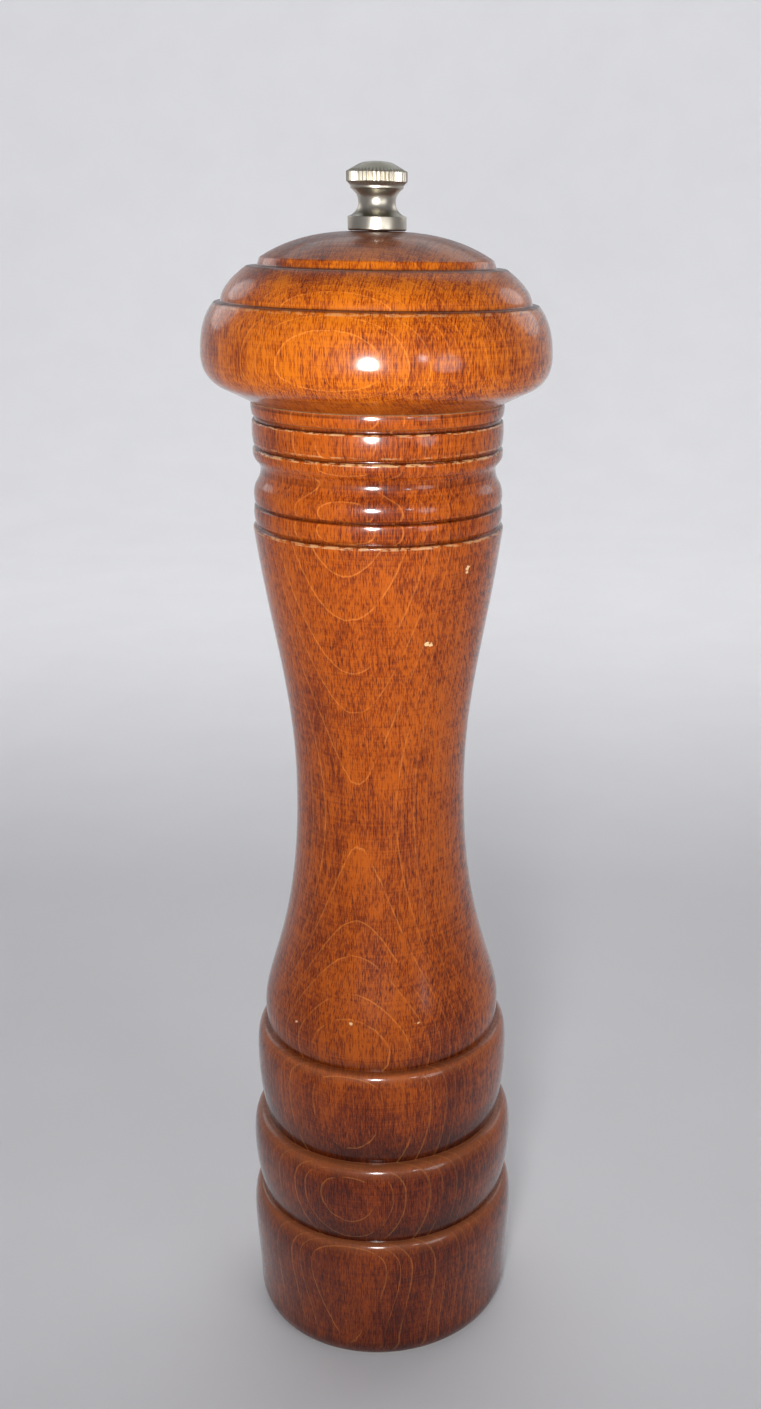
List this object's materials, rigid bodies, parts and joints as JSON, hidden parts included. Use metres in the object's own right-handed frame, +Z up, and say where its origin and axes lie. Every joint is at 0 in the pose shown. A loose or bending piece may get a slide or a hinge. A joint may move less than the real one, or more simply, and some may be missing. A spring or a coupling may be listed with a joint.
{
  "type": "pepper mill",
  "caption": "Turned wooden pepper mill: a hollow waisted barrel with beads at the base, and a mushroom head that turns a burr on a square shaft under a knurled grind-setting nut.",
  "frame": {"origin": "centre of the foot, on the surface the mill stands on", "axes": "+Z up along the turning axis to the finial nut; X along the retainer bar under the foot; -Y is the front"},
  "size_m": [0.073, 0.073, 0.2674],
  "materials": {
    "wood": "stained beech under gloss varnish",
    "burr_steel": "hardened, lightly oiled",
    "plated_steel": "bright zinc plate",
    "spring_steel": "drawn wire",
    "shaft_aluminium": "extruded, satin",
    "nickel": "polished nickel plate, slightly yellowed"
  },
  "bodies": {
    "barrel": {"barrel": "wood", "stator": "burr_steel", "retainer_bar": "plated_steel", "retainer_screw_left": "plated_steel", "retainer_screw_right": "plated_steel"},
    "spring": {"spring": "spring_steel"},
    "shaft": {"shaft": "shaft_aluminium", "rotor": "burr_steel", "rotor_clip": "plated_steel"},
    "head": {"head": "wood", "drive_plate": "plated_steel", "drive_plate_screw_1": "plated_steel", "drive_plate_screw_2": "plated_steel", "drive_plate_screw_3": "plated_steel", "drive_plate_screw_4": "plated_steel"},
    "knob": {"knob": "nickel"}
  },
  "joints": [
    {"name": "grind_turn", "type": "hinge", "parent": "barrel", "child": "spring", "pos_m": [0, 0, 0], "axis": [0, 0, 1], "continuous": true},
    {"name": "burr_gap", "type": "slide", "parent": "spring", "child": "shaft", "axis": [0, 0, 1], "range_m": [-0.0016, 0], "deforming": ["spring"]},
    {"name": "head_lift", "type": "slide", "parent": "spring", "child": "head", "axis": [0, 0, 1], "range_m": [0, 0.06]},
    {"name": "knob_turn", "type": "hinge", "parent": "head", "child": "knob", "pos_m": [0, 0, 0.26], "axis": [0, 0, 1], "range_deg": [0, 720]}
  ],
  "couplings": [
    {"joint": "knob_turn", "follows": "burr_gap", "rad_per_m": -7850}
  ]
}
